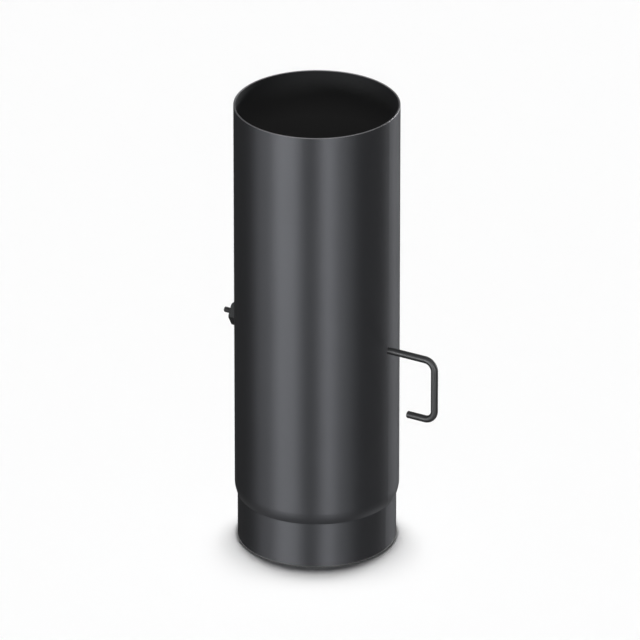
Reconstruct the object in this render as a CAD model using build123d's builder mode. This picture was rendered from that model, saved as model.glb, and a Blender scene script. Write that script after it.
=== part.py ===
"""Stove pipe damper: a length of 180 mm flue pipe with a hand-turned plate on a spindle across it.

Millimetres. The origin is on the pipe's axis at its lower, spigot end. +Z runs up the pipe and +X along the
spindle towards its handle. The handle hangs down and the plate stands along the pipe, so the damper is open.
"""

from math import acos, cos, degrees, pi, radians, sin, tan
import os

from build123d import *

# Pipe: rolled and welded sheet, swaged down at its lower end to slip into the next pipe
bore_dia = 180.0
wall = 2.0
pipe_length = 526.0
spigot_length = 53.5
spigot_clearance = 1.2
swage_radius = 31.0
swage_corner = 1.5
rim_chamfer = 0.4

# Spindle: one round rod, bent outside the pipe into a handle and turned down at its far end
spindle_height = 248.0
rod_dia = 8.0
handle_reach = 58.5
handle_drop = 72.5
handle_tip_gap = 24.5
bend_radius = 12.0
tip_chamfer = 0.5
tail_dia = 6.4
tail_reach = 27.2
running_gap = 0.08
shoulder_gap = 0.4

# Friction stack on the tail: flat washer, spring washer and hexagonal nut
wall_gap = 0.3
washer_dia = 24.0
washer_thickness = 1.6
washer_hole_gap = 0.25
spring_width = 3.0
spring_thickness = 1.8
spring_slit = 1.2
nut_across_flats = 25.5
nut_height = 10.4
nut_chamfer = 0.4
nut_chamfer_slope = 30.0
thread_gap = 0.05

# Plate: a flat disc with an even gap to the bore
plate_gap = 4.0
plate_thickness = 2.0
seat_gap = 0.05

# Saddle clips: bent straps that hold the plate on the rod
clip_inset = 36.0
clip_width = 16.0
strap = 2.0
strap_bend = 0.8
foot_margin = 6.0

# Clip fasteners
bolt_dia = 5.0
bolt_hole_gap = 0.25
bolt_across_flats = 8.0
head_height = 3.5
head_gap = 0.5
clip_nut_height = 4.0
bolt_end = 1.5

# Radii and places that follow from the sizes above
bore_r = bore_dia / 2
pipe_r = bore_r + wall
spigot_r = bore_r - spigot_clearance
swage_angle = acos(1 - (pipe_r - spigot_r) / (swage_radius + swage_corner))
swage_top = spigot_length + (swage_radius + swage_corner) * sin(swage_angle)

rod_r = rod_dia / 2
tail_r = tail_dia / 2
shoulder_x = -(bore_r - shoulder_gap)
tail_end_x = -(pipe_r + tail_reach)
grip_x = pipe_r + handle_reach
handle_tip_x = pipe_r + handle_tip_gap
handle_foot_z = spindle_height - handle_drop
spindle_axis = Axis((0, 0, spindle_height), (1, 0, 0))

washer_x = -(pipe_r + wall_gap)
spring_x = washer_x - washer_thickness - seat_gap
nut_x = spring_x - spring_thickness - seat_gap
washer_hole_r = tail_r + washer_hole_gap

plate_r = bore_r - plate_gap
rod_above_plate = rod_r + seat_gap
plate_y = rod_above_plate

saddle_r = rod_r + seat_gap
foot_bend = strap + strap_bend
bolt_corner_r = bolt_across_flats / 2 / cos(pi / 6)
bolt_offset = saddle_r + foot_bend + bolt_corner_r + head_gap
foot_end = bolt_offset + foot_margin
clip_x = plate_r - clip_inset
clip_places = [-clip_x, clip_x]
bolt_places = [(x, z) for x in clip_places for z in (-bolt_offset, bolt_offset)]
bolt_hole_r = bolt_dia / 2 + bolt_hole_gap
bolt_depth = plate_thickness + clip_nut_height + bolt_end

# The plate's face under the rod: its normal points at the rod, its X along the spindle and its Y up the pipe
plate_face = Plane(origin=(0, plate_y, spindle_height), x_dir=(1, 0, 0), z_dir=(0, -1, 0))

os.makedirs("parts", exist_ok=True)


# Flue pipe: the wall is one even thickness, drawn down the outside and thickened inwards
with BuildPart() as flue_pipe:
    with BuildSketch(Plane.XZ):
        with BuildLine():
            straight = Line((pipe_r, pipe_length), (pipe_r, swage_top))
            shoulder = JernArc(straight @ 1, straight % 1, swage_radius, -degrees(swage_angle))
            corner = JernArc(shoulder @ 1, shoulder % 1, swage_corner, degrees(swage_angle))
            Line(corner @ 1, (spigot_r, 0))
            offset(amount=wall, side=Side.RIGHT)
        make_face()
    revolve(axis=Axis.Z)
    rims = flue_pipe.faces().filter_by(Plane.XY)
    chamfer(rims.edges(), length=rim_chamfer)
    for side, shaft_r in ((1, rod_r), (-1, tail_r)):
        with Locations(Plane(origin=(side * pipe_r, 0, spindle_height), z_dir=(side, 0, 0))):
            Hole(radius=shaft_r + running_gap, depth=pipe_r / 2)
flue_pipe.part.label = "flue_pipe"
export_step(flue_pipe.part, "parts/flue_pipe.step")


# Spindle: the rod runs from its shoulder inside the far wall, across the pipe and round the open handle
with BuildPart() as spindle_handle:
    with BuildLine() as rod_path:
        FilletPolyline(
            (shoulder_x, 0, spindle_height),
            (grip_x, 0, spindle_height),
            (grip_x, 0, handle_foot_z),
            (handle_tip_x, 0, handle_foot_z),
            radius=bend_radius,
        )
    with BuildSketch(Plane(origin=rod_path.line @ 0, z_dir=rod_path.line % 0)):
        Circle(rod_r)
    sweep()
    handle_tip = spindle_handle.faces().filter_by(GeomType.PLANE).sort_by(Axis.Z)[0]
    chamfer(handle_tip.edges(), length=tip_chamfer)
    with BuildSketch(Plane(origin=(shoulder_x, 0, spindle_height), z_dir=(-1, 0, 0))):
        Circle(tail_r)
    extrude(amount=shoulder_x - tail_end_x)
    tail_tip = spindle_handle.faces().filter_by(GeomType.PLANE).sort_by(Axis.X)[0]
    chamfer(tail_tip.edges(), length=tip_chamfer)
spindle_handle.part.label = "spindle_handle"
export_step(spindle_handle.part, "parts/spindle_handle.step")


# Flat washer against the pipe
with BuildPart() as flat_washer:
    with BuildSketch(Plane(origin=(washer_x, 0, spindle_height), z_dir=(-1, 0, 0))):
        Circle(washer_dia / 2)
        Circle(washer_hole_r, mode=Mode.SUBTRACT)
    extrude(amount=washer_thickness)
flat_washer.part.label = "flat_washer"
export_step(flat_washer.part, "parts/flat_washer.step")


# Spring washer: a split ring, pressed flat by the nut
with BuildPart() as spring_washer:
    with BuildSketch(Plane(origin=(spring_x, 0, spindle_height), x_dir=(0, 1, 0), z_dir=(-1, 0, 0))):
        Circle(washer_hole_r + spring_width)
        Circle(washer_hole_r, mode=Mode.SUBTRACT)
        with Locations((washer_hole_r + spring_width / 2, 0)):
            Rectangle(2 * spring_width, spring_slit, mode=Mode.SUBTRACT)
    extrude(amount=spring_thickness)
spring_washer.part.label = "spring_washer"
export_step(spring_washer.part, "parts/spring_washer.step")


# Hexagonal nut, the tips of its corners turned off on the outer face
with BuildPart() as spindle_nut:
    with BuildSketch(Plane(origin=(nut_x, 0, spindle_height), x_dir=(0, 1, 0), z_dir=(-1, 0, 0))):
        RegularPolygon(radius=nut_across_flats / 2, side_count=6, major_radius=False)
        Circle(tail_r + thread_gap, mode=Mode.SUBTRACT)
    extrude(amount=nut_height)
    nut_corner_r = nut_across_flats / 2 / cos(pi / 6)
    with BuildSketch(Plane(origin=(nut_x, 0, spindle_height), x_dir=(-1, 0, 0), z_dir=(0, -1, 0))):
        with BuildLine():
            Polyline(
                (0, 0),
                (0, nut_corner_r),
                (nut_height - nut_chamfer, nut_corner_r),
                (nut_height, nut_corner_r - nut_chamfer / tan(radians(nut_chamfer_slope))),
                (nut_height, 0),
                close=True,
            )
        make_face()
    revolve(axis=spindle_axis, mode=Mode.INTERSECT)
spindle_nut.part.label = "spindle_nut"
export_step(spindle_nut.part, "parts/spindle_nut.step")


# Damper plate, with a hole for each clip bolt
with BuildPart() as damper_plate:
    with BuildSketch(plate_face):
        Circle(plate_r)
        with Locations(bolt_places):
            Circle(bolt_hole_r, mode=Mode.SUBTRACT)
    extrude(amount=-plate_thickness)
damper_plate.part.label = "damper_plate"
export_step(damper_plate.part, "parts/damper_plate.step")


# Saddle clips: the strap runs along one foot, up and over the rod and down to the other foot
for number, x in enumerate(clip_places, start=1):
    with BuildPart() as saddle_clip:
        with BuildSketch(Plane(origin=(x, plate_y, spindle_height), x_dir=(0, 0, 1), z_dir=(1, 0, 0))):
            with BuildLine():
                foot = Line((-foot_end, 0), (-saddle_r - foot_bend, 0))
                rise = JernArc(foot @ 1, foot % 1, foot_bend, 90)
                leg = Line(rise @ 1, (-saddle_r, rod_above_plate))
                crown = JernArc(leg @ 1, leg % 1, saddle_r, -180)
                far_leg = Line(crown @ 1, (saddle_r, foot_bend))
                fall = JernArc(far_leg @ 1, far_leg % 1, foot_bend, 90)
                Line(fall @ 1, (foot_end, 0))
                offset(amount=strap, side=Side.LEFT)
            make_face()
        extrude(amount=clip_width / 2, both=True)
        with BuildSketch(plate_face):
            with Locations([(x, -bolt_offset), (x, bolt_offset)]):
                Circle(bolt_hole_r)
        extrude(amount=strap, mode=Mode.SUBTRACT)
    saddle_clip.part.label = f"saddle_clip_{number}"
    export_step(saddle_clip.part, f"parts/saddle_clip_{number}.step")


# Clip bolts with their nuts: heads on the straps, nuts behind the plate
for number, place in enumerate(bolt_places, start=1):
    with BuildPart() as clip_bolt:
        with BuildSketch(plate_face.offset(strap)):
            with Locations(place):
                RegularPolygon(radius=bolt_across_flats / 2, side_count=6, major_radius=False)
        extrude(amount=head_height)
        with BuildSketch(plate_face.offset(strap)):
            with Locations(place):
                Circle(bolt_dia / 2)
        extrude(amount=-(strap + bolt_depth))
    clip_bolt.part.label = f"clip_bolt_{number}"
    export_step(clip_bolt.part, f"parts/clip_bolt_{number}.step")

    with BuildPart() as clip_nut:
        with BuildSketch(plate_face.offset(-plate_thickness)):
            with Locations(place):
                RegularPolygon(radius=bolt_across_flats / 2, side_count=6, major_radius=False)
                Circle(bolt_dia / 2 + thread_gap, mode=Mode.SUBTRACT)
        extrude(amount=-clip_nut_height)
    clip_nut.part.label = f"clip_nut_{number}"
    export_step(clip_nut.part, f"parts/clip_nut_{number}.step")
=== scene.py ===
from math import acos, cos, floor, pi, radians, sin, sqrt, tan, tau

import bmesh
import bpy
from mathutils import Matrix, Vector


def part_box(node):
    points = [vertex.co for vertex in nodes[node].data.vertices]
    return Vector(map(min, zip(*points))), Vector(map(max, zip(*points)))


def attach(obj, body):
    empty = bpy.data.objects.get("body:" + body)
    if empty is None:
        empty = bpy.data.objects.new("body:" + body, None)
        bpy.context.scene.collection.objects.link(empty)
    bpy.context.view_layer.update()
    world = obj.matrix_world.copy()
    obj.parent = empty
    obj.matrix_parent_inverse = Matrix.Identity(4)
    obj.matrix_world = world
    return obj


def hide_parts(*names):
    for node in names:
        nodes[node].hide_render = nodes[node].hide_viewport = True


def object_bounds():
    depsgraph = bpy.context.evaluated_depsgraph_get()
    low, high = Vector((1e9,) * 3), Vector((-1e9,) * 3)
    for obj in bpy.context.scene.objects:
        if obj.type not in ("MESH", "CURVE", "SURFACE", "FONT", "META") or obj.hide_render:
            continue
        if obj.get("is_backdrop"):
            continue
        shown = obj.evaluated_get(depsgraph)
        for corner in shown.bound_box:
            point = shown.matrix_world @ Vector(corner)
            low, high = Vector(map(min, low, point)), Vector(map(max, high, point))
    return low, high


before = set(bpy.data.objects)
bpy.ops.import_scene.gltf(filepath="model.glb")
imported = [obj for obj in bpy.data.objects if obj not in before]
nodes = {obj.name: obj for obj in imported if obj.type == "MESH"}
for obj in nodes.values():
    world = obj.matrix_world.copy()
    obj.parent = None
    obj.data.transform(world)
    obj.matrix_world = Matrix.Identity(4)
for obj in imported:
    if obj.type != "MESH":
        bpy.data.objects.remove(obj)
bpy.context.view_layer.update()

scene = bpy.context.scene


# Flue pipe. Two millimetre sheet steel, rolled, seam welded and swaged down to a spigot at its lower end.
# It is sprayed outside with a satin graphite paint that stands a stove's heat, with painted highlights at
# its rim and foot.
# The bore is matte, and its colour is painted darker near the rim and lighter deep down: painted shade
# and painted light.
def paint_grain_group():
    """Sprayed paint: a fine grain, and broad patches where the coat lies thicker or thinner."""
    group = bpy.data.node_groups.new("paint_grain", "ShaderNodeTree")
    sockets = group.interface
    sockets.new_socket("Color", in_out="INPUT", socket_type="NodeSocketColor")
    sockets.new_socket("Patch Color", in_out="INPUT", socket_type="NodeSocketColor")
    sockets.new_socket("Roughness", in_out="INPUT", socket_type="NodeSocketFloat")
    sockets.new_socket("Roughness Spread", in_out="INPUT", socket_type="NodeSocketFloat")
    sockets.new_socket("Grain Scale", in_out="INPUT", socket_type="NodeSocketFloat")
    sockets.new_socket("Patch Scale", in_out="INPUT", socket_type="NodeSocketFloat")
    sockets.new_socket("Color", in_out="OUTPUT", socket_type="NodeSocketColor")
    sockets.new_socket("Roughness", in_out="OUTPUT", socket_type="NodeSocketFloat")
    sockets.new_socket("Height", in_out="OUTPUT", socket_type="NodeSocketFloat")
    make = group.nodes.new
    link = group.links.new
    given = make("NodeGroupInput")
    result = make("NodeGroupOutput")
    place = make("ShaderNodeTexCoord")

    grain = make("ShaderNodeTexNoise")
    grain.inputs["Detail"].default_value = 3.0
    link(place.outputs["Object"], grain.inputs["Vector"])
    link(given.outputs["Grain Scale"], grain.inputs["Scale"])

    patch = make("ShaderNodeTexNoise")
    patch.inputs["Detail"].default_value = 5.0
    patch.inputs["Roughness"].default_value = 0.6
    link(place.outputs["Object"], patch.inputs["Vector"])
    link(given.outputs["Patch Scale"], patch.inputs["Scale"])

    mottle = make("ShaderNodeMath")
    mottle.operation = "ADD"
    link(grain.outputs["Fac"], mottle.inputs[0])
    link(patch.outputs["Fac"], mottle.inputs[1])
    share = make("ShaderNodeMath")
    share.operation = "MULTIPLY"
    share.inputs[1].default_value = 0.5
    link(mottle.outputs["Value"], share.inputs[0])

    tint = make("ShaderNodeMix")
    tint.data_type = "RGBA"
    link(share.outputs["Value"], tint.inputs["Factor"])
    link(given.outputs["Color"], tint.inputs["A"])
    link(given.outputs["Patch Color"], tint.inputs["B"])
    link(tint.outputs["Result"], result.inputs["Color"])

    centred = make("ShaderNodeMath")
    centred.operation = "SUBTRACT"
    centred.inputs[1].default_value = 0.5
    link(patch.outputs["Fac"], centred.inputs[0])
    sheen = make("ShaderNodeMath")
    sheen.operation = "MULTIPLY_ADD"
    link(centred.outputs["Value"], sheen.inputs[0])
    link(given.outputs["Roughness Spread"], sheen.inputs[1])
    link(given.outputs["Roughness"], sheen.inputs[2])
    link(sheen.outputs["Value"], result.inputs["Roughness"])

    link(grain.outputs["Fac"], result.inputs["Height"])
    return group


paint_grain = paint_grain_group()


def grained_metal(
    name,
    color,
    patch_color,
    roughness,
    grain_scale,
    grain_depth,
    patch_scale,
    metallic=1.0,
    roughness_spread=0.06,
):
    """A coat or finish on steel: the grain group gives its colour, sheen and the height of its grain."""
    material = bpy.data.materials.new(name)
    material.use_nodes = True
    tree = material.node_tree
    surface = tree.nodes["Principled BSDF"]
    surface.inputs["Metallic"].default_value = metallic
    grain = tree.nodes.new("ShaderNodeGroup")
    grain.node_tree = paint_grain
    grain.inputs["Color"].default_value = (*color, 1.0)
    grain.inputs["Patch Color"].default_value = (*patch_color, 1.0)
    grain.inputs["Roughness"].default_value = roughness
    grain.inputs["Roughness Spread"].default_value = roughness_spread
    grain.inputs["Grain Scale"].default_value = grain_scale
    grain.inputs["Patch Scale"].default_value = patch_scale
    bump = tree.nodes.new("ShaderNodeBump")
    bump.inputs["Distance"].default_value = grain_depth
    tree.links.new(grain.outputs["Color"], surface.inputs["Base Color"])
    tree.links.new(grain.outputs["Roughness"], surface.inputs["Roughness"])
    tree.links.new(grain.outputs["Height"], bump.inputs["Height"])
    tree.links.new(bump.outputs["Normal"], surface.inputs["Normal"])
    return material


def dress(node_name, material):
    """Gives a CAD piece its finish."""
    slots = nodes[node_name].data.materials
    slots.clear()
    slots.append(material)


pipe_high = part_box("flue_pipe")[1]
pipe_paint = grained_metal(
    "graphite_pipe_paint",
    color=(0.081, 0.083, 0.09),
    patch_color=(0.089, 0.091, 0.098),
    roughness=0.44,
    grain_scale=1400.0,
    grain_depth=0.000008,
    patch_scale=9.0,
)
pipe_surface = pipe_paint.node_tree.nodes["Principled BSDF"]
pipe_surface.inputs["Anisotropic"].default_value = 0.6
pipe_surface.inputs["Anisotropic Rotation"].default_value = 0.25
pipe_grain = pipe_surface.inputs["Base Color"].links[0].from_node
make = pipe_paint.node_tree.nodes.new
link = pipe_paint.node_tree.links.new
round_the_pipe = make("ShaderNodeTangent")
round_the_pipe.direction_type = "RADIAL"
round_the_pipe.axis = "Z"
link(round_the_pipe.outputs["Tangent"], pipe_surface.inputs["Tangent"])


def pipe_mask(value, start, full):
    """A mask on the pipe that grows from nothing at one value to full at another."""
    grow = make("ShaderNodeMapRange")
    grow.inputs["From Min"].default_value = start
    grow.inputs["From Max"].default_value = full
    link(value, grow.inputs["Value"])
    return grow.outputs["Result"]


# The bore is where the surface faces the pipe's axis
# Painted shade and painted light in the bore: its colour is darker near the rim and lighter deep down
bore_rim_shade_color = (0.03, 0.031, 0.033, 1.0)
bore_shade_end = 0.47
bore_deep_light_color = (0.125, 0.125, 0.126, 1.0)
bore_roughness = 0.85
bore_facing_start = -0.3
bore_facing_full = -0.8
place = make("ShaderNodeTexCoord")
flat = make("ShaderNodeVectorMath")
flat.operation = "MULTIPLY"
flat.inputs[1].default_value = (1.0, 1.0, 0.0)
link(place.outputs["Object"], flat.inputs[0])
outward = make("ShaderNodeVectorMath")
outward.operation = "NORMALIZE"
link(flat.outputs["Vector"], outward.inputs[0])
facing = make("ShaderNodeVectorMath")
facing.operation = "DOT_PRODUCT"
link(outward.outputs["Vector"], facing.inputs[0])
link(place.outputs["Normal"], facing.inputs[1])
in_bore = pipe_mask(facing.outputs["Value"], bore_facing_start, bore_facing_full)
height = make("ShaderNodeSeparateXYZ")
link(place.outputs["Object"], height.inputs["Vector"])
# The bore's painted shade near the rim, going over to painted light deeper down
bore_shade_ramp = make("ShaderNodeMix")
bore_shade_ramp.data_type = "RGBA"
bore_shade_ramp.inputs["A"].default_value = bore_deep_light_color
bore_shade_ramp.inputs["B"].default_value = bore_rim_shade_color
link(pipe_mask(height.outputs["Z"], bore_shade_end, pipe_high.z), bore_shade_ramp.inputs["Factor"])
coat = make("ShaderNodeMix")
coat.data_type = "RGBA"
link(in_bore, coat.inputs["Factor"])
link(pipe_grain.outputs["Color"], coat.inputs["A"])
link(bore_shade_ramp.outputs["Result"], coat.inputs["B"])
dulling = make("ShaderNodeMix")
dulling.inputs["B"].default_value = bore_roughness
link(in_bore, dulling.inputs["Factor"])
link(pipe_grain.outputs["Roughness"], dulling.inputs["A"])
link(dulling.outputs["Result"], pipe_surface.inputs["Roughness"])

# A painted highlight, a lighter metal colour, lies where the rim looks up, and a thin pale painted
# highlight line rings the foot
rim_highlight_color = (0.24, 0.24, 0.25, 1.0)
rim_slope_start = 0.5
rim_slope_full = 0.7
foot_highlight_color = (0.8, 0.8, 0.8, 1.0)
foot_highlight_height = 0.001
foot_highlight_width = 0.0012
slope = make("ShaderNodeSeparateXYZ")
link(place.outputs["Normal"], slope.inputs["Vector"])
# Painted highlight on the up-facing rim
painted_rim_highlight = make("ShaderNodeMix")
painted_rim_highlight.data_type = "RGBA"
painted_rim_highlight.inputs["B"].default_value = rim_highlight_color
link(pipe_mask(slope.outputs["Z"], rim_slope_start, rim_slope_full), painted_rim_highlight.inputs["Factor"])
link(coat.outputs["Result"], painted_rim_highlight.inputs["A"])
on_foot_highlight = make("ShaderNodeMath")
on_foot_highlight.operation = "COMPARE"
on_foot_highlight.inputs[1].default_value = foot_highlight_height
on_foot_highlight.inputs[2].default_value = foot_highlight_width / 2
link(height.outputs["Z"], on_foot_highlight.inputs[0])
# Painted highlight line round the foot, pale and not metallic
painted_foot_highlight = make("ShaderNodeMix")
painted_foot_highlight.data_type = "RGBA"
painted_foot_highlight.inputs["B"].default_value = foot_highlight_color
link(on_foot_highlight.outputs["Value"], painted_foot_highlight.inputs["Factor"])
link(painted_rim_highlight.outputs["Result"], painted_foot_highlight.inputs["A"])
link(painted_foot_highlight.outputs["Result"], pipe_surface.inputs["Base Color"])
metal_share = make("ShaderNodeMath")
metal_share.operation = "SUBTRACT"
metal_share.inputs[0].default_value = 1.0
link(on_foot_highlight.outputs["Value"], metal_share.inputs[1])
link(metal_share.outputs["Value"], pipe_surface.inputs["Metallic"])
dress("flue_pipe", pipe_paint)


# Weld seam. The pipe's edges meet at its back in one run of weld, rolled nearly flush and painted over.
# It is a low closed bead of weld ripples that follows the pipe's outside from rim to rim.
point_spacing = 0.0000002


def new_piece(name, verts, faces, material, body, crease):
    """A mesh piece that rides on a body and takes the finish it is given.

    Points in one place become one point, and edges that turn more than the crease angle stay sharp.
    """
    mesh = bpy.data.meshes.new(name)
    mesh.from_pydata(verts, [], faces)
    shell = bmesh.new()
    shell.from_mesh(mesh)
    bmesh.ops.remove_doubles(shell, verts=shell.verts, dist=point_spacing)
    shell.to_mesh(mesh)
    shell.free()
    mesh.polygons.foreach_set("use_smooth", [True] * len(mesh.polygons))
    mesh.set_sharp_from_angle(angle=crease)
    mesh.materials.append(material)
    piece = bpy.data.objects.new(name, mesh)
    scene.collection.objects.link(piece)
    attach(piece, body)
    return piece


pipe_r = pipe_high.y
spigot_r = 0.0888
spigot_length = 0.0535
swage_radius = 0.031
swage_corner = 0.0015
swage_angle = acos(1 - (pipe_r - spigot_r) / (swage_radius + swage_corner))
swage_top = spigot_length + (swage_radius + swage_corner) * sin(swage_angle)
corner_top = spigot_length + swage_corner * sin(swage_angle)


def outside_radius(z):
    """The pipe's outside at a height: spigot, the swage's two arcs, then the full pipe."""
    if z <= spigot_length:
        return spigot_r
    if z <= corner_top:
        return spigot_r + swage_corner - sqrt(swage_corner**2 - (z - spigot_length) ** 2)
    if z <= swage_top:
        return pipe_r - swage_radius + sqrt(swage_radius**2 - (swage_top - z) ** 2)
    return pipe_r


seam_width = 0.0026
seam_height = 0.00028
seam_sunk = 0.0001
seam_root = 0.0005
seam_crease = radians(50)
ripple_pitch = 0.0022
ripple_depth = 0.00008
ripple_bow = 0.35
rim_margin = 0.0006
seam_columns = 9
seam_points = seam_columns + 2
seam_rows = 900
seam_verts = []
for row in range(seam_rows):
    z = rim_margin + (pipe_high.z - 2 * rim_margin) * row / (seam_rows - 1)
    profile = []
    for column in range(seam_columns):
        across = 2 * column / (seam_columns - 1) - 1
        ripple = ripple_depth * sin(tau * (z / ripple_pitch + ripple_bow * across**2))
        profile.append((across, (seam_height + ripple) * (1 - across**2) - seam_sunk))
    profile.append((1.0, -seam_root))
    profile.append((-1.0, -seam_root))
    for across, rise in profile:
        angle = across * seam_width / 2 / pipe_r
        radius = outside_radius(z) + rise
        seam_verts.append((radius * sin(angle), radius * cos(angle), z))
seam_faces = []
for row in range(seam_rows - 1):
    for point in range(seam_points):
        a = row * seam_points + point
        b = row * seam_points + (point + 1) % seam_points
        seam_faces.append((a, a + seam_points, b + seam_points, b))
seam_faces.append(tuple(range(seam_points)))
seam_faces.append(tuple(range(seam_rows * seam_points - 1, (seam_rows - 1) * seam_points - 1, -1)))
new_piece("weld_seam", seam_verts, seam_faces, pipe_paint, "pipe", seam_crease)


# Damper plate. A flat disc cut from the same sheet as the pipe and sprayed with the same paint.
# It lies against the spindle, and the two clips hold it there.
plate_paint = grained_metal(
    "graphite_plate_paint",
    color=(0.075, 0.077, 0.083),
    patch_color=(0.092, 0.094, 0.1),
    roughness=0.46,
    grain_scale=1200.0,
    grain_depth=0.000012,
    patch_scale=24.0,
    metallic=0.65,
)
dress("damper_plate", plate_paint)


# Spindle and handle. One drawn steel rod runs across the pipe and is bent cold into an open handle.
# It is painted black, and its far end is turned down to a tail that is threaded for the nut.
rod_paint = grained_metal(
    "black_rod_paint",
    color=(0.066, 0.067, 0.069),
    patch_color=(0.078, 0.079, 0.081),
    roughness=0.56,
    grain_scale=1600.0,
    grain_depth=0.000008,
    patch_scale=60.0,
)
rod_surface = rod_paint.node_tree.nodes["Principled BSDF"]
rod_surface.inputs["Anisotropic"].default_value = 0.45
rod_surface.inputs["Anisotropic Rotation"].default_value = 0.25
round_the_rod = rod_paint.node_tree.nodes.new("ShaderNodeTangent")
round_the_rod.direction_type = "UV_MAP"
round_the_rod.uv_map = "rod_wrap"
rod_paint.node_tree.links.new(round_the_rod.outputs["Tangent"], rod_surface.inputs["Tangent"])

rod_low, rod_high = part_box("spindle_handle")
rod_r = 0.004
spindle_z = rod_high.z - rod_r
grip_x = rod_high.x - rod_r
foot_z = rod_low.z + rod_r
handle_tip_gap = 0.0245
handle_tip_x = pipe_r + handle_tip_gap
tail_end_x = rod_low.x
tail_r = 0.0032
shoulder_inset = 0.0024
shoulder_x = -(pipe_r - shoulder_inset)
bend_radius = 0.012
bend_steps = 20
tip_chamfer = 0.0005
thread_pitch = 0.00125
thread_depth = 0.00045
rings_per_turn = 14
rod_sides = 48
rod_crease = radians(35)


def thread_radii(outer_r, depth, pitch, along, sides):
    """Radius at each side of one ring of a screw thread, at a distance along it."""
    radii = []
    for side in range(sides):
        turn = along / pitch - side / sides
        flank = abs(2 * (turn - floor(turn)) - 1)
        radii.append(outer_r - depth * (1 - flank))
    return radii


def bend_points(centre, start_angle, end_angle):
    """Centre line of one bend in the handle's plane, with the direction of the rod at each point."""
    points = []
    for step in range(bend_steps + 1):
        angle = start_angle + (end_angle - start_angle) * step / bend_steps
        spot = centre + Vector((cos(angle), 0.0, sin(angle))) * bend_radius
        points.append((spot, Vector((sin(angle), 0.0, -cos(angle)))))
    return points


along_x = Vector((1.0, 0.0, 0.0))
rod_rings = []


def add_rod_ring(x, z, heading, radii):
    """Adds one ring of the rod in the handle's plane."""
    rod_rings.append((Vector((x, 0.0, z)), heading, radii))


add_rod_ring(tail_end_x, spindle_z, along_x, [tail_r - thread_depth - tip_chamfer] * rod_sides)
thread_length = shoulder_x - tail_end_x - 2 * tip_chamfer
thread_steps = round(thread_length / thread_pitch * rings_per_turn)
for step in range(thread_steps + 1):
    along = thread_length * step / thread_steps
    radii = thread_radii(tail_r, thread_depth, thread_pitch, along, rod_sides)
    add_rod_ring(tail_end_x + tip_chamfer + along, spindle_z, along_x, radii)
add_rod_ring(shoulder_x, spindle_z, along_x, [tail_r] * rod_sides)
add_rod_ring(shoulder_x, spindle_z, along_x, [rod_r] * rod_sides)
bend_x = grip_x - bend_radius
upper_bend = bend_points(Vector((bend_x, 0.0, spindle_z - bend_radius)), pi / 2, 0.0)
lower_bend = bend_points(Vector((bend_x, 0.0, foot_z + bend_radius)), 0.0, -pi / 2)
for spot, heading in upper_bend + lower_bend:
    add_rod_ring(spot.x, spot.z, heading, [rod_r] * rod_sides)
add_rod_ring(handle_tip_x + tip_chamfer, foot_z, -along_x, [rod_r] * rod_sides)
add_rod_ring(handle_tip_x, foot_z, -along_x, [rod_r - tip_chamfer] * rod_sides)

sideways = Vector((0.0, 1.0, 0.0))
rod_verts = []
for spot, heading, radii in rod_rings:
    upward = heading.cross(sideways)
    for side, radius in enumerate(radii):
        angle = tau * side / rod_sides
        rod_verts.append(spot + (sideways * cos(angle) + upward * sin(angle)) * radius)
rod_faces = []
for ring in range(len(rod_rings) - 1):
    for side in range(rod_sides):
        a = ring * rod_sides + side
        b = ring * rod_sides + (side + 1) % rod_sides
        rod_faces.append((a, b, b + rod_sides, a + rod_sides))
last_ring = (len(rod_rings) - 1) * rod_sides
rod_faces.append(tuple(range(rod_sides - 1, -1, -1)))
rod_faces.append(tuple(range(last_ring, last_ring + rod_sides)))
spindle = new_piece("spindle_rod", rod_verts, rod_faces, rod_paint, "damper", rod_crease)
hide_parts("spindle_handle")

# The drawn grain follows the rod's bends, so its map is wound round each ring and flat on the ends.
# The points run ring by ring, so a point's number gives its place in the map.
rod_wrap = spindle.data.uv_layers.new(name="rod_wrap")
for face in spindle.data.polygons:
    for corner, loop in enumerate(face.loop_indices):
        ring, side = divmod(spindle.data.loops[loop].vertex_index, rod_sides)
        if len(face.vertices) > 4:
            angle = tau * side / rod_sides
            rod_wrap.data[loop].uv = (0.5 + 0.5 * cos(angle), 0.5 + 0.5 * sin(angle))
        else:
            turned = side + rod_sides if side == 0 and corner in (1, 2) else side
            rod_wrap.data[loop].uv = (turned / rod_sides, ring / len(rod_rings))


# Friction stack. A flat washer, a spring washer and a hexagonal nut on the tail draw the spindle tight.
# They are turned and pressed steel with a thin dark oxide finish.
dark_oxide = grained_metal(
    "dark_oxide_steel",
    color=(0.021, 0.022, 0.023),
    patch_color=(0.03, 0.031, 0.032),
    roughness=0.55,
    grain_scale=2200.0,
    grain_depth=0.000008,
    patch_scale=160.0,
    metallic=0.65,
)
dress("flat_washer", dark_oxide)
dress("spring_washer", dark_oxide)
hexagon_sides = 72
hexagon_crease = radians(25)
chamfer_slope = tan(radians(30))
thread_gap = 0.00005


def hexagon_rings(across_flats, height, bore_r, countersink, chamfer):
    """Rings of a hexagonal nut from its bore out and back, each a list of (radius, height) pairs."""
    corner_r = across_flats / 2 / cos(pi / 6)
    flat_r = corner_r - chamfer / chamfer_slope
    edge = []
    for side in range(hexagon_sides):
        angle = (side / hexagon_sides * tau) % (pi / 3) - pi / 6
        edge.append(across_flats / 2 / cos(angle))
    low = [(r, max(0.0, (r - flat_r) * chamfer_slope)) for r in edge]
    return [
        [(bore_r, countersink)] * hexagon_sides,
        [(bore_r + countersink, 0.0)] * hexagon_sides,
        [(min(r, flat_r), 0.0) for r in edge],
        low,
        [(r, height - drop) for r, drop in low],
        [(min(r, flat_r), height) for r in edge],
        [(bore_r + countersink, height)] * hexagon_sides,
        [(bore_r, height - countersink)] * hexagon_sides,
    ]


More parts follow.
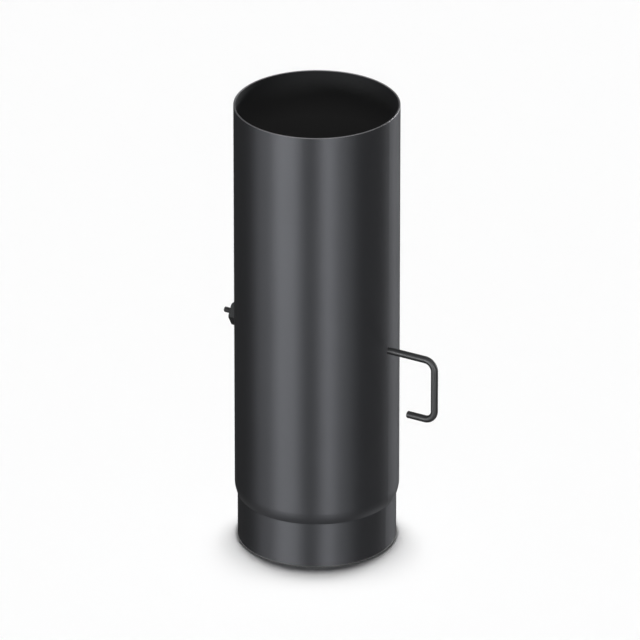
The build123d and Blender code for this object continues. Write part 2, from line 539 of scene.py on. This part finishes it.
def turned_mesh(rings, place, capped=False):
    """Vertices and faces of rings round an axis, put in place by a matrix whose Z is the axis.

    The last ring joins the first, as round a bore, or flat caps close both ends.
    """
    sides = len(rings[0])
    verts = []
    for ring in rings:
        for side, (radius, height) in enumerate(ring):
            angle = tau * side / sides
            verts.append(place @ Vector((radius * cos(angle), radius * sin(angle), height)))
    faces = []
    for ring in range(len(rings) - 1 if capped else len(rings)):
        here = ring * sides
        after = (ring + 1) % len(rings) * sides
        for side in range(sides):
            beside = (side + 1) % sides
            faces.append((here + side, here + beside, after + beside, after + side))
    if capped:
        faces.append(tuple(range(sides - 1, -1, -1)))
        faces.append(tuple(range((len(rings) - 1) * sides, len(rings) * sides)))
    return verts, faces


nut_countersink = 0.0006
nut_chamfer = 0.0004
nut_low, nut_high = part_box("spindle_nut")
nut_rings = hexagon_rings(
    across_flats=nut_high.z - nut_low.z,
    height=nut_high.x - nut_low.x,
    bore_r=tail_r + thread_gap,
    countersink=nut_countersink,
    chamfer=nut_chamfer,
)
along_tail = Matrix(((0, 0, -1, 0), (1, 0, 0, 0), (0, -1, 0, 0), (0, 0, 0, 1)))
nut_place = Matrix.Translation((nut_high.x, 0.0, spindle_z)) @ along_tail
nut_verts, nut_faces = turned_mesh(nut_rings, nut_place)
nut_name = "spindle_hex_nut"
nut = new_piece(nut_name, nut_verts, nut_faces, dark_oxide, "damper", hexagon_crease)
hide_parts("spindle_nut")


# Saddle clips. Two straps bent over the rod, with a foot on the plate each side of it.
# They are pressed from bare strip and blackened.
for number in (1, 2):
    dress(f"saddle_clip_{number}", dark_oxide)


# Clip bolts and nuts. Four small hexagon bolts go through the clips' feet and the plate, each with a nut.
# The heads are forged and the ends rolled with a coarse thread, both blackened with the clips.
bolt_r = 0.0025
head_height = 0.0035
head_chamfer = 0.00035
plain_shank = 0.0035
bolt_pitch = 0.0008
bolt_thread_depth = 0.0004
bolt_rings_per_turn = 12
clip_nut_countersink = 0.0003
through_plate = Matrix(((1, 0, 0, 0), (0, 0, 1, 0), (0, -1, 0, 0), (0, 0, 0, 1)))
for number in (1, 2, 3, 4):
    bolt_low, bolt_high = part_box(f"clip_bolt_{number}")
    bolt_length = bolt_high.y - bolt_low.y
    bolt_x = (bolt_low.x + bolt_high.x) / 2
    bolt_z = (bolt_low.z + bolt_high.z) / 2
    head = hexagon_rings(
        across_flats=bolt_high.z - bolt_low.z,
        height=head_height,
        bore_r=bolt_r,
        countersink=0.0,
        chamfer=head_chamfer,
    )
    head_top, head_edge = head[2], head[3]
    thread_start = head_height + plain_shank
    thread_length = bolt_length - bolt_thread_depth - thread_start
    bolt_rings = [
        head_top,
        head_edge,
        [(r, head_height) for r, drop in head_edge],
        [(bolt_r, head_height)] * hexagon_sides,
        [(bolt_r, thread_start)] * hexagon_sides,
    ]
    bolt_steps = round(thread_length / bolt_pitch * bolt_rings_per_turn)
    for step in range(bolt_steps + 1):
        along = thread_length * step / bolt_steps
        depth = bolt_thread_depth * min(1.0, along / bolt_pitch)
        radii = thread_radii(bolt_r, depth, bolt_pitch, along, hexagon_sides)
        bolt_rings.append([(r, thread_start + along) for r in radii])
    bolt_rings.append([(bolt_r - 2 * bolt_thread_depth, bolt_length)] * hexagon_sides)
    bolt_place = Matrix.Translation((bolt_x, bolt_low.y, bolt_z)) @ through_plate
    verts, faces = turned_mesh(bolt_rings, bolt_place, capped=True)
    bolt_name = f"clip_hex_bolt_{number}"
    bolt = new_piece(bolt_name, verts, faces, dark_oxide, "damper", hexagon_crease)
    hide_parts(f"clip_bolt_{number}")

    low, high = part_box(f"clip_nut_{number}")
    clip_nut_rings = hexagon_rings(
        across_flats=high.z - low.z,
        height=high.y - low.y,
        bore_r=bolt_r + thread_gap,
        countersink=clip_nut_countersink,
        chamfer=head_chamfer,
    )
    clip_nut_place = Matrix.Translation((bolt_x, low.y, bolt_z)) @ through_plate
    verts, faces = turned_mesh(clip_nut_rings, clip_nut_place)
    nut_name = f"clip_hex_nut_{number}"
    clip_nut = new_piece(nut_name, verts, faces, dark_oxide, "damper", hexagon_crease)
    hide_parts(f"clip_nut_{number}")


# Studio floor. A plain white sheet that the pipe stands on, wide enough to fill every view.
# It takes the soft shadow under the foot, and the metal doesn't mirror it.
floor_reach = 24.0
floor_color = (0.95, 0.95, 0.95, 1.0)
floor_signs = ((-1, -1), (1, -1), (1, 1), (-1, 1))
floor_corners = [(x * floor_reach, y * floor_reach, 0.0) for x, y in floor_signs]
floor_mesh = bpy.data.meshes.new("studio_floor")
floor_mesh.from_pydata(floor_corners, [], [(0, 1, 2, 3)])
studio_floor = bpy.data.objects.new("studio_floor", floor_mesh)
scene.collection.objects.link(studio_floor)
floor_paint = bpy.data.materials.new("white_floor")
floor_paint.use_nodes = True
floor_surface = floor_paint.node_tree.nodes["Principled BSDF"]
floor_surface.inputs["Base Color"].default_value = floor_color
floor_surface.inputs["Roughness"].default_value = 1.0
floor_surface.inputs["Specular IOR Level"].default_value = 0.0
floor_mesh.materials.append(floor_paint)
studio_floor.visible_glossy = False
studio_floor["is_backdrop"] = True


# Studio room. Its level goes from the floor up to the ceiling, with a pale card low down on the right.
# The metal mirrors it in full, and the floor gets only a little light from it.
camera_azimuth = radians(30.35)
room_levels = (
    (0.0, 0.5),
    (0.02, 0.1),
    (0.04, 0.05),
    (0.1, 0.36),
    (0.18, 0.22),
    (0.28, 0.05),
    (0.5, 0.04),
    (0.7, 0.22),
    (0.85, 0.55),
    (1.0, 1.1),
)
room_fill = 0.04
card_azimuth = camera_azimuth + radians(126)
card_elevation = radians(-60)
card_inner = radians(8)
card_outer = radians(22)
card_level = 0.6
world = bpy.data.worlds.new("studio")
world.use_nodes = True
scene.world = world
background = world.node_tree.nodes["Background"]
make = world.node_tree.nodes.new
link = world.node_tree.links.new
direction = make("ShaderNodeTexCoord")
room_height = make("ShaderNodeSeparateXYZ")
link(direction.outputs["Generated"], room_height.inputs["Vector"])
rise = make("ShaderNodeMapRange")
rise.inputs["From Min"].default_value = -1.0
link(room_height.outputs["Z"], rise.inputs["Value"])
walls = make("ShaderNodeValToRGB")
link(rise.outputs["Result"], walls.inputs["Fac"])
stops = walls.color_ramp.elements
stops.remove(stops[1])
for position, level in room_levels:
    stops.new(position).color = (level, level, level, 1.0)
stops.remove(stops[0])

toward_card = make("ShaderNodeVectorMath")
toward_card.operation = "DOT_PRODUCT"
toward_card.inputs[1].default_value = (
    sin(card_azimuth) * cos(card_elevation),
    -cos(card_azimuth) * cos(card_elevation),
    sin(card_elevation),
)
link(direction.outputs["Generated"], toward_card.inputs[0])
card = make("ShaderNodeMapRange")
card.inputs["From Min"].default_value = cos(card_outer)
card.inputs["From Max"].default_value = cos(card_inner)
card.inputs["To Max"].default_value = card_level
link(toward_card.outputs["Value"], card.inputs["Value"])
room = make("ShaderNodeVectorMath")
room.operation = "ADD"
link(walls.outputs["Color"], room.inputs[0])
link(card.outputs["Result"], room.inputs[1])
link(room.outputs["Vector"], background.inputs["Color"])
ray = make("ShaderNodeLightPath")
room_strength = make("ShaderNodeMapRange")
room_strength.inputs["To Min"].default_value = room_fill
room_strength.inputs["To Max"].default_value = 1.0
link(ray.outputs["Is Glossy Ray"], room_strength.inputs["Value"])
link(room_strength.outputs["Result"], background.inputs["Strength"])


# Studio lamps. Ceiling lamps a little behind the pipe light the floor and lay the shadow before the foot.
# A ring of low lamps draws the light bands on the metal. The rod and the nut cast no shadow.
# A lamp has an azimuth from the camera's side, an elevation, a strength and a spread, angles in degrees.
clear_of_lamps = bpy.data.collections.new("clear_of_lamps")
for piece in (spindle, nut, nodes["flat_washer"], nodes["spring_washer"]):
    clear_of_lamps.objects.link(piece)
for member in clear_of_lamps.collection_objects:
    member.light_linking.link_state = "EXCLUDE"


def hang_lamp(name, azimuth, elevation, strength, spread):
    """A far round lamp, aimed at the pipe."""
    lamp_data = bpy.data.lights.new(name, "SUN")
    lamp_data.energy = strength
    lamp_data.angle = radians(spread)
    lamp = bpy.data.objects.new(name, lamp_data)
    lamp.rotation_euler = (radians(90 - elevation), 0.0, camera_azimuth + radians(azimuth))
    lamp.light_linking.blocker_collection = clear_of_lamps
    scene.collection.objects.link(lamp)
    return lamp


ceiling_lamps = {
    "ceiling_lamp_1": (170.0, 89.0, 0.442, 1.6),
    "ceiling_lamp_2": (-170.0, 89.0, 0.442, 1.6),
    "ceiling_lamp_3": (160.0, 88.0, 0.483, 3.2),
    "ceiling_lamp_4": (-160.0, 88.0, 0.483, 3.2),
    "ceiling_lamp_5": (150.0, 86.4, 0.39, 3.2),
    "ceiling_lamp_6": (-150.0, 86.4, 0.39, 3.2),
    "ceiling_lamp_7": (150.0, 84.4, 0.272, 3.6),
    "ceiling_lamp_8": (-150.0, 84.4, 0.272, 3.6),
}
for lamp_name, setting in ceiling_lamps.items():
    hang_lamp(lamp_name, *setting).visible_glossy = False

ring_lamps = {
    "left_back_lamp": (-122.0, 2.0, 0.1, 20.0),
    "left_lamp": (-78.0, 2.0, 0.9, 14.0),
    "left_front_lamp": (-50.0, 2.0, 2.15, 16.0),
    "front_left_lamp": (-31.0, 2.0, 1.5, 12.0),
    "front_lamp": (14.5, 2.0, 2.28, 16.0),
    "front_right_lamp": (38.0, 2.0, 0.75, 20.0),
    "right_lamp": (75.0, 2.0, 0.16, 24.0),
    "right_back_lamp": (123.0, 2.0, 2.22, 13.0),
    "back_lamp": (142.0, 2.0, 0.6, 16.0),
}
for lamp_name, setting in ring_lamps.items():
    hang_lamp(lamp_name, *setting).visible_diffuse = False


# Camera. A long lens far off, looking down at the pipe with the spindle's handle turned towards it.
# The pipe stands upright in the middle of the picture, with room all round it.
camera_distance = 9.899
camera_height = 4.989
camera_aside = 0.0034
camera_pitch = radians(25.52)
camera_data = bpy.data.cameras.new("photo_camera")
camera_data.sensor_width = 36.0
camera_data.lens = 555.93
camera_data.clip_end = 100.0
camera = bpy.data.objects.new("photo_camera", camera_data)
away = Vector((sin(camera_azimuth), -cos(camera_azimuth), 0.0))
aside = Vector((cos(camera_azimuth), sin(camera_azimuth), 0.0))
camera.location = away * camera_distance + aside * camera_aside + Vector((0.0, 0.0, camera_height))
camera.rotation_euler = (pi / 2 - camera_pitch, 0.0, camera_azimuth)
scene.collection.objects.link(camera)
scene.camera = camera
scene.view_settings.view_transform = "Standard"

low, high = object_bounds()
